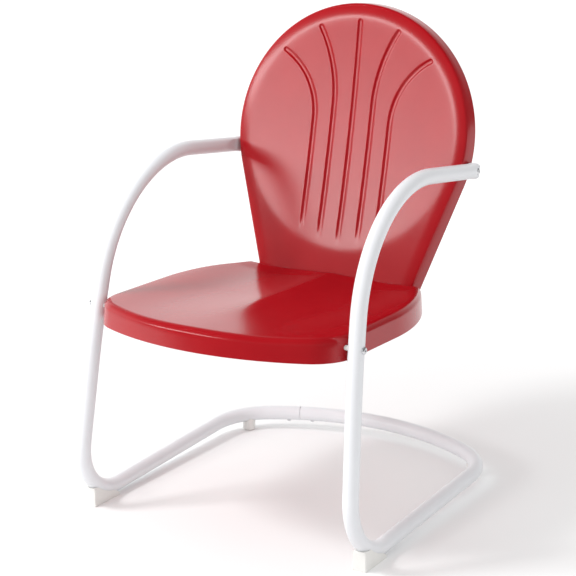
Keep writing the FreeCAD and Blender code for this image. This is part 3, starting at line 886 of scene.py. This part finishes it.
@dataclass(frozen=True)
class Flute:
    """One pressed groove: a straight run up the back and a bend outwards."""

    across: float
    low: float
    high: float
    bend_radius: float | None
    bend_turn: float

    def distance(self, across: float, along: float) -> float:
        """The distance from the groove's middle line.

        Args:
            across: The point's X on the right half of the back.
            along: Its distance up the back.

        Returns:
            The distance to the nearest point of the line.
        """
        best = math.hypot(across - self.across, along - min(self.high, max(self.low, along)))
        if self.bend_radius is None:
            return best
        centre = Vector((self.across + self.bend_radius, self.high))
        arm = Vector((across, along)) - centre
        angle = math.pi - math.atan2(arm.y, arm.x)
        turn = math.radians(self.bend_turn)
        if 0 <= angle <= turn:
            return min(best, abs(arm.length - self.bend_radius))
        end = centre + Vector((-math.cos(turn), math.sin(turn))) * self.bend_radius
        return min(best, (Vector((across, along)) - end).length)


@dataclass
class Back(PressedPanel):
    """The round back: a shallow dish with five fanned flutes, a soft crown, a tight roll and a flange."""

    name: str = "pressed_back"
    radius: float = 0.241
    centre_up: float = 0.258
    foot_half_width: float = 0.156
    below_seat: float = 0.038
    lean: float = 12.1
    seat_depth_behind_bolt: float = 0.380
    seat_fall: float = 1.8
    bolt_below_seat: float = 0.020
    foot_corner: float = 0.014
    tightest_corner: float = 0.002
    crown_width: float = 0.021
    crown_start: float = 0.6
    crown_end: float = 11.0
    crown_rings: int = 8
    roll_radius: float = 0.0052
    dish_radius: float = 0.217
    dish_depth: float = 0.0085
    dish_below_centre: float = 0.002
    dish_softness: float = 0.0004
    flute_half_width: float = 0.0057
    flute_floor: float = 0.0020
    flute_depth: float = 0.0021
    flute_fade: float = 0.050
    flutes: tuple[Flute, ...] = (
        Flute(0.0, 0.047, 0.465, None, 0.0),
        Flute(0.041, 0.054, 0.310, 0.2636, 32.2),
        Flute(0.080, 0.066, 0.280, 0.1395, 61.5))
    fine_reach: Span = (0.0110, 0.0078)
    arc_points: int = 314
    side_points: int = 30
    corner_points: int = 5
    foot_points: int = 40

    def __post_init__(self) -> None:
        """Works out where the back stands from the seat's bolts."""
        bolt = middle_of("left_seat_bolt")
        fall = math.tan(math.radians(self.seat_fall))
        self.origin = Vector((0, bolt.y + self.seat_depth_behind_bolt,
                              bolt.z + self.bolt_below_seat - fall * self.seat_depth_behind_bolt))
        lean = math.radians(self.lean)
        self.up = Vector((0, math.sin(lean), math.cos(lean)))
        self.rear = Vector((0, math.cos(lean), -math.sin(lean)))

    def outward(self) -> Vector:
        """The back faces forwards."""
        return -self.rear

    def place(self, across: float, along: float, level: float) -> Vector:
        """A point of the back, its distance along counted upwards from the seat."""
        return self.origin + X * across + self.up * along + self.rear * level

    def outline(self, inset: float, level: float) -> list[Vector]:
        """Circle, straight tapering sides, rounded foot corners and straight foot, from the top by the right.

        Args:
            inset: The distance inside the back's edge.
            level: The depth behind its face, which the flare follows.

        Returns:
            The outline's points.
        """
        inset = inset - self.flare * level / self.flange
        drop = self.centre_up + self.below_seat
        reach = math.hypot(self.foot_half_width, drop)
        tangent = math.acos(self.radius / reach) - math.atan2(drop, self.foot_half_width)
        outward = Vector((math.cos(tangent), math.sin(tangent)))
        down = Vector((outward.y, -outward.x))
        radius = self.radius - inset
        centre = Vector((0, self.centre_up))
        side = centre + outward * radius
        foot_up = -self.below_seat + inset
        corner = max(self.tightest_corner, self.foot_corner - inset)
        corner_up = foot_up + corner
        along = (side.y - corner_up + outward.y * corner) / -down.y
        corner_start = side + down * along
        corner_centre = corner_start - outward * corner
        foot = Vector((corner_centre.x, foot_up))
        half = self.arc_points // 2
        shape = Outline([])
        shape.arc(centre, radius, QUARTER, math.pi - tangent, half)
        shape.line(mirrored(side), mirrored(corner_start), self.side_points)
        shape.arc(mirrored(corner_centre), corner, math.pi - tangent, 3 * QUARTER, self.corner_points)
        shape.line(mirrored(foot), foot, self.foot_points)
        shape.arc(corner_centre, corner, -QUARTER, tangent, self.corner_points)
        shape.line(corner_start, side, self.side_points)
        shape.arc(centre, radius, tangent, QUARTER, half)
        return shape.points

    def edge(self) -> list[Span]:
        """The section of the edge.

        Returns:
            Insets and levels from the dish's rim over the crown and the roll to the flange's end.
        """
        start, end = math.radians(self.crown_start), math.radians(self.crown_end)
        last = QUARTER - math.atan(self.flare / self.flange)
        bend = self.crown_width / (math.sin(end) - math.sin(start))
        roll_width = self.roll_radius * (math.sin(last) - math.sin(end))
        section = [(self.crown_width + roll_width, 0.0)]
        for first, final, radius, rings in ((start, end, bend, self.crown_rings),
                                            (end, last, self.roll_radius, self.roll_rings - 1)):
            inset, level = section[-1]
            for k in range(1, rings + 1):
                angle = first + (final - first) * k / rings
                section.append((inset - radius * (math.sin(angle) - math.sin(first)),
                                level + radius * (math.cos(first) - math.cos(angle))))
        level = section[-1][1]
        slope = self.flare / self.flange
        section = [(inset + slope * deep, deep) for inset, deep in section]
        for k in range(1, self.flange_rings + 1):
            section.append((0.0, level + (self.flange - level) * k / self.flange_rings))
        return section

    def relief(self, across: float, along: float) -> float:
        """The depth of the dish and of the flutes.

        Args:
            across: The point's X.
            along: Its distance up the back.

        Returns:
            The depth.
        """
        centre = self.centre_up - self.dish_below_centre
        ball = (self.dish_radius ** 2 + self.dish_depth ** 2) / (2 * self.dish_depth)
        distance = math.hypot(across, along - centre)
        deep = self.dish_depth - ball + math.sqrt(max(0.0, ball ** 2 - distance ** 2))
        dish = (deep + math.sqrt(deep ** 2 + self.dish_softness ** 2)) / 2
        nearest, low = min((flute.distance(abs(across), along), flute.low) for flute in self.flutes)
        wall = (nearest - self.flute_floor) / (self.flute_half_width - self.flute_floor)
        depth = self.flute_depth * smooth((along - low) / self.flute_fade)
        return dish + depth * (1 - smooth(wall))

    def refine(self, piece: Piece) -> None:
        """Cuts the face finer beside the flutes.

        Args:
            piece: The flat skin.
        """
        make_active(piece)
        bpy.ops.object.mode_set(mode="EDIT")
        for reach in self.fine_reach:
            mesh = bmesh.from_edit_mesh(piece.data)
            for face in mesh.faces:
                middle = face.calc_center_median()
                near = min(flute.distance(abs(middle.x), middle.y) for flute in self.flutes) < reach
                face.select_set(near)
            bpy.ops.mesh.select_mode(type="FACE")
            bmesh.update_edit_mesh(piece.data)
            bpy.ops.mesh.subdivide(number_cuts=1, quadcorner="INNERVERT")
        close_mesh()


@dataclass
class Seat(PressedPanel):
    """The seat: a flat pan with two shallow hollows, a ridge between them, a rolled edge and a skirt."""

    name: str = "pressed_seat"
    flange: float = 0.042
    half_width: float = 0.244
    depth: float = 0.477
    ahead_of_bolt: float = 0.097
    bolt_below_top: float = 0.020
    tilt: float = 1.8
    front_radius: float = 0.459
    front_corner: float = 0.082
    rear_side_radius: float = 0.388
    rear_side_length: float = 0.210
    rear_corner: float = 0.016
    tightest_corner: float = 0.003
    back_lean: float = 12.1
    roll_radius: float = 0.012
    hollow_depth: float = 0.0085
    hollow_half_width: float = 0.118
    hollow_across: float = 0.112
    hollow_front_share: float = 0.28
    hollow_rise: float = 0.27
    hollow_rear_share: float = 0.55
    hollow_rear_fade: float = 0.05
    ridge_softness: float = 0.006
    ridge_front_softness: float = 0.040
    points_front: int = 120
    points_corner: int = 40
    points_side: int = 30
    points_rear_side: int = 40
    points_rear_corner: int = 6
    points_rear: int = 88

    def __post_init__(self) -> None:
        """Works out where the seat lies from its bolts."""
        bolt = middle_of("left_seat_bolt")
        self.pivot = Vector((0, bolt.y, bolt.z + self.bolt_below_top))
        self.normal = turned(Z, X, -self.tilt)
        self.rearward = turned(Y, X, -self.tilt)

    def outward(self) -> Vector:
        """The seat faces up."""
        return self.normal

    def place(self, across: float, along: float, level: float) -> Vector:
        """A point of the seat, its distance along counted backwards from the bolts."""
        return self.pivot + X * across + self.rearward * along - self.normal * level

    def outline(self, inset: float, level: float) -> list[Vector]:
        """Front arc, corners, sides, curved rear sides, rear corners and rear line, from the front's middle.

        Args:
            inset: The distance inside the seat's edge.
            level: The depth below its face, which the flare and the back's lean follow.

        Returns:
            The outline's points.
        """
        slant = math.tan(math.radians(self.back_lean - self.tilt))
        rear = (self.depth - self.ahead_of_bolt) / math.cos(math.radians(self.tilt)) - slant * level - inset
        inset = inset - self.flare * level / self.flange
        front_y = self.front_radius - self.ahead_of_bolt
        spread = self.front_radius - self.front_corner
        corner_centre = Vector((self.half_width - self.front_corner, 0))
        corner_centre.y = front_y - math.sqrt(spread ** 2 - corner_centre.x ** 2)
        angle = math.atan2(corner_centre.y - front_y, corner_centre.x)
        side_end = self.depth - self.ahead_of_bolt - self.rear_side_length
        side_centre = Vector((self.half_width - self.rear_side_radius, side_end))
        side = self.rear_side_radius - inset
        fillet = max(self.tightest_corner, self.rear_corner - inset)
        fillet_y = rear - fillet
        fillet_x = side_centre.x + math.sqrt((side - fillet) ** 2 - (fillet_y - side_end) ** 2)
        fillet_angle = math.atan2(fillet_y - side_end, fillet_x - side_centre.x)
        centre = Vector((0, front_y))
        fillet_centre = Vector((fillet_x, fillet_y))
        side_front = Vector((self.half_width - inset, corner_centre.y))
        side_rear = Vector((self.half_width - inset, side_end))
        rear_end = Vector((fillet_x, rear))
        front, corner, half = self.front_radius - inset, self.front_corner - inset, self.points_front // 2
        shape = Outline([])
        shape.arc(centre, front, -QUARTER, angle, half)
        shape.arc(corner_centre, corner, angle, 0.0, self.points_corner)
        shape.line(side_front, side_rear, self.points_side)
        shape.arc(side_centre, side, 0.0, fillet_angle, self.points_rear_side)
        shape.arc(fillet_centre, fillet, fillet_angle, QUARTER, self.points_rear_corner)
        shape.line(rear_end, mirrored(rear_end), self.points_rear)
        shape.arc(mirrored(fillet_centre), fillet, QUARTER, math.pi - fillet_angle, self.points_rear_corner)
        shape.arc(mirrored(side_centre), side, math.pi - fillet_angle, math.pi, self.points_rear_side)
        shape.line(mirrored(side_rear), mirrored(side_front), self.points_side)
        shape.arc(mirrored(corner_centre), corner, math.pi, math.pi - angle, self.points_corner)
        shape.arc(centre, front, math.pi - angle, 3 * QUARTER, half)
        return shape.points

    def edge(self) -> list[Span]:
        """The section of the edge.

        Returns:
            Insets and levels from the face over the roll to the skirt's end.
        """
        section = []
        for k in range(self.roll_rings + 1):
            angle = QUARTER * k / self.roll_rings
            section.append((self.roll_radius * (1 - math.sin(angle)),
                            self.roll_radius * (1 - math.cos(angle))))
        for k in range(1, self.flange_rings + 1):
            section.append((0.0, self.roll_radius + (self.flange - self.roll_radius) * k / self.flange_rings))
        return section

    def relief(self, across: float, along: float) -> float:
        """The depth of the two hollows, with the ridge where they meet.

        Args:
            across: The point's X.
            along: Its distance behind the bolts.

        Returns:
            The depth.
        """
        rise = smooth((along + self.ahead_of_bolt) / self.hollow_rise)
        rear = smooth((self.depth - self.ahead_of_bolt - along) / self.hollow_rear_fade)
        soft = self.ridge_front_softness + (self.ridge_softness - self.ridge_front_softness) * rise
        side = (math.hypot(across, soft) - self.hollow_across) / self.hollow_half_width
        share = max(0.0, 1 - side ** 2)
        if side > 0:
            share *= share
        share *= self.hollow_front_share + (1 - self.hollow_front_share) * rise
        share *= self.hollow_rear_share + (1 - self.hollow_rear_share) * rear
        return self.hollow_depth * share


@dataclass
class SeatCollars:
    """The slim moulded collars on the seat's bolts, between its skirt and the tubes."""

    node: str = "seat_spacers"
    radius: float = 0.0045
    wall: float = 0.0014
    tuck: float = 0.001
    edge: float = 0.0005
    edge_angle: float = 50.0
    sharp_angle: float = 40.0
    sides: int = 40

    def build(self) -> Piece:
        """Models both collars and ties them to the frame.

        Returns:
            The piece.
        """
        place = middle_of(self.node)
        reaches = [abs(vertex.co.x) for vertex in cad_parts[self.node].data.vertices]
        inner = min(reaches)
        outer = max(reaches) - self.tuck
        collars = []
        for side in (-1, 1):
            deselect_all()
            bpy.ops.mesh.primitive_cylinder_add(
                vertices=self.sides, radius=self.radius, depth=outer - inner, end_fill_type="NOTHING",
                location=(side * (inner + outer) / 2, place.y, place.z), rotation=(0, QUARTER, 0))
            collars.append(bpy.context.object)
        for collar in collars:
            collar.select_set(True)
        bpy.ops.object.join()
        piece = bpy.context.object
        piece.name = "seat_collars"
        apply_place()
        recalculate_normals(piece)
        apply_modifier(piece, "SOLIDIFY", thickness=self.wall, offset=-1.0, use_even_offset=True)
        apply_modifier(piece, "BEVEL", width=self.edge, segments=BEVEL_SEGMENTS, limit_method="ANGLE",
                       angle_limit=math.radians(self.edge_angle))
        shade(piece, self.sharp_angle)
        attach(piece, Body.SEAT_UNIT.value)
        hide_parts(self.node)
        return piece


@dataclass
class Hardware:
    """The feet, fasteners and sleeve, which keep the frame's own shapes and get their finishes."""

    plastic: tuple[str, ...] = ("left_front_foot", "right_front_foot", "left_rear_glide", "right_rear_glide")
    spacers: tuple[str, ...] = ("arm_spacers",)
    steel: tuple[str, ...] = (
        "rear_coupling_sleeve", "coupling_screws", "foot_screws", "glide_screws", "left_seat_bolt",
        "right_seat_bolt", "seat_nuts", "seat_saddle_washers", "left_arm_bolt", "right_arm_bolt", "arm_nuts",
        "arm_saddle_washers", "back_bolts", "back_washers", "back_nuts")

    def finish(self) -> None:
        """Dresses the nodes."""
        for names, finish in ((self.plastic, WHITE_PLASTIC), (self.spacers, SPACER_PLASTIC),
                              (self.steel, ZINC_STEEL)):
            material = finish.material()
            for name in names:
                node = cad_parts[name]
                node.data.materials.clear()
                node.data.materials.append(material)
                log.info("node %s: %s", name, finish.name)


@dataclass(frozen=True)
class Softbox:
    """A lamp with a rectangular diffuser that faces the chair."""

    name: str
    azimuth: float
    elevation: float
    distance: float
    width: float
    height: float
    power: float
    in_gloss: bool = True
    aim: float = 0.45

    def hang(self) -> None:
        """Hangs the lamp, its azimuth counted from the front towards the chair's right."""
        data = bpy.data.lights.new(self.name, "AREA")
        data.shape = "RECTANGLE"
        data.size, data.size_y = self.width, self.height
        data.energy = self.power
        lamp = bpy.data.objects.new(self.name, data)
        turn, rise = math.radians(self.azimuth), math.radians(self.elevation)
        away = Vector((-math.sin(turn) * math.cos(rise), -math.cos(turn) * math.cos(rise), math.sin(rise)))
        lamp.location = Z * self.aim + away * self.distance
        lamp.rotation_euler = (-away).to_track_quat("-Z", "Y").to_euler()
        lamp.visible_glossy = self.in_gloss
        bpy.context.scene.collection.objects.link(lamp)


@dataclass
class Studio:
    """The pale floor, the soft light and the camera."""

    lens: float = 117.72
    azimuth: float = 31.425
    elevation: float = 15.732
    roll: float = -0.309
    camera_place: tuple[float, float, float] = (1.6997, -2.8008, 1.3144)
    floor_size: float = 80.0
    floor_colour: float = 0.84
    lift_reach: Span = (0.5, 2.2)
    lift: Span = (0.09, 0.38)
    reflection_dark_azimuth: float = 20.0
    reflection_dark_reach: Span = (1.3, 1.85)
    brightest: float = 125.0
    diffuse_light: Span = (1.09, 1.17)
    glossy_light: Span = (0.1, 1.3)
    glossy_reach: Span = (0.1, 0.7)
    diffuse_ceiling: float = 0.64
    glossy_ceiling: float = 0.1
    ceiling_reach: Span = (0.3, 0.7)
    lamps: tuple[Softbox, ...] = (
        Softbox("key_softbox", 36.5, 16.9, 4.53, 2.7, 0.6, 54.0),
        Softbox("fill_softbox", 60.0, 25.0, 2.2, 1.6, 1.2, 2.5, in_gloss=False),
        Softbox("upper_softbox", 46.0, 46.0, 3.0, 0.6, 0.6, 39.0, in_gloss=False))

    def build(self) -> None:
        """Sets up everything that isn't the chair."""
        bpy.context.scene.view_settings.view_transform = "Standard"
        self._floor()
        self._world()
        for lamp in self.lamps:
            lamp.hang()
        self._camera()

    def _floor(self) -> None:
        """Lays the floor, which whitens with the distance and keeps the shadow; in front it is painted near
        black for glossy rays alone, a painted dark reflection.
        """
        deselect_all()
        bpy.ops.mesh.primitive_plane_add(size=self.floor_size)
        floor = bpy.context.object
        floor.name = "studio_floor"
        material = bpy.data.materials.new("studio_floor")
        nodes = Nodes(material)
        place = nodes.add("TexCoord").outputs["Object"]
        distance = nodes.reckon("VectorMath", "LENGTH", place)
        lift = nodes.ramp(distance, self.lift_reach, self.lift, "SMOOTHSTEP")
        paper = nodes.add("BsdfDiffuse", {"Color": (self.floor_colour,) * 3 + (1.0,)}).outputs["BSDF"]
        rays = nodes.add("LightPath").outputs
        seen = nodes.reckon("Math", "MAXIMUM", rays["Is Camera Ray"], rays["Is Glossy Ray"])
        glow = nodes.reckon("Math", "MULTIPLY", seen, lift)
        light = nodes.add("Emission", {"Color": WHITE, "Strength": glow}).outputs["Emission"]
        both = nodes.add("AddShader", {0: paper, 1: light}).outputs["Shader"]
        # Painted dark reflection: glossy rays see the floor ahead of the chair as near black, while the
        # camera sees it white.
        turn = math.radians(self.reflection_dark_azimuth)
        ahead = nodes.reckon("VectorMath", "DOT_PRODUCT", place, (math.sin(turn), -math.cos(turn), 0.0))
        reflection_dark = nodes.ramp(ahead, self.reflection_dark_reach, (0.0, 1.0), "SMOOTHSTEP")
        share = nodes.reckon("Math", "MULTIPLY", reflection_dark, rays["Is Glossy Ray"])
        reflection_black = nodes.add("BsdfDiffuse", {"Color": NEAR_BLACK}).outputs["BSDF"]
        shown = nodes.add("MixShader", {0: share, 1: both, 2: reflection_black}).outputs["Shader"]
        nodes.add("OutputMaterial", {"Surface": shown})
        floor.data.materials.append(material)

    def _world(self) -> None:
        """Surrounds the chair with walls that are whitest on one side, under a ceiling glosses don't show."""
        world = bpy.data.worlds.new("studio")
        bpy.context.scene.world = world
        nodes = Nodes(world)
        direction = nodes.add("TexCoord").outputs["Generated"]
        turn = math.radians(self.brightest)
        side = nodes.reckon("VectorMath", "DOT_PRODUCT", direction, (-math.sin(turn), -math.cos(turn), 0.0))
        height = nodes.add("SeparateXYZ", {"Vector": direction}).outputs["Z"]
        strengths = []
        for reach, light, ceiling in (((-1.0, 1.0), self.diffuse_light, self.diffuse_ceiling),
                                      (self.glossy_reach, self.glossy_light, self.glossy_ceiling)):
            walls = nodes.ramp(side, reach, light)
            above = nodes.ramp(height, self.ceiling_reach, (1.0, ceiling))
            strengths.append(nodes.reckon("Math", "MULTIPLY", walls, above))
        is_gloss = nodes.add("LightPath").outputs["Is Glossy Ray"]
        strength = nodes.add("Mix", {"Factor": is_gloss, "A": strengths[0], "B": strengths[1]})
        sky = nodes.add("Background", {"Color": WHITE, "Strength": strength.outputs["Result"]})
        nodes.add("OutputWorld", {"Surface": sky.outputs["Background"]})

    def _camera(self) -> None:
        """Puts the camera where the photograph was taken from."""
        data = bpy.data.cameras.new("camera")
        data.lens = self.lens
        camera = bpy.data.objects.new("camera", data)
        turn = (Matrix.Rotation(math.radians(self.azimuth), 4, "Z")
                @ Matrix.Rotation(math.radians(90 - self.elevation), 4, "X")
                @ Matrix.Rotation(math.radians(self.roll), 4, "Z"))
        camera.matrix_world = Matrix.Translation(self.camera_place) @ turn
        bpy.context.scene.collection.objects.link(camera)
        bpy.context.scene.camera = camera


def main() -> None:
    """Builds the chair, dresses it and sets up the studio."""
    logging.basicConfig(level=logging.INFO, format="%(name)s: %(message)s")
    white = WHITE_ENAMEL.material()
    red = RED_ENAMEL.material()
    for side in Side:
        tube = SideTube(side)
        piece = tube.build()
        tube.finish(piece, white)
        log.info("piece %s: %d faces", piece.name, len(piece.data.polygons))
    for panel, node in ((Back(), "back_shell"), (Seat(), "seat_pan")):
        piece = panel.build()
        piece.data.materials.append(red)
        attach(piece, Body.SEAT_UNIT.value)
        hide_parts(node)
        log.info("piece %s: %d faces", piece.name, len(piece.data.polygons))
    collars = SeatCollars().build()
    collars.data.materials.append(SPACER_PLASTIC.material())
    log.info("piece %s: %d faces", collars.name, len(collars.data.polygons))
    Hardware().finish()
    Studio().build()


if __name__ == "__main__":
    main()
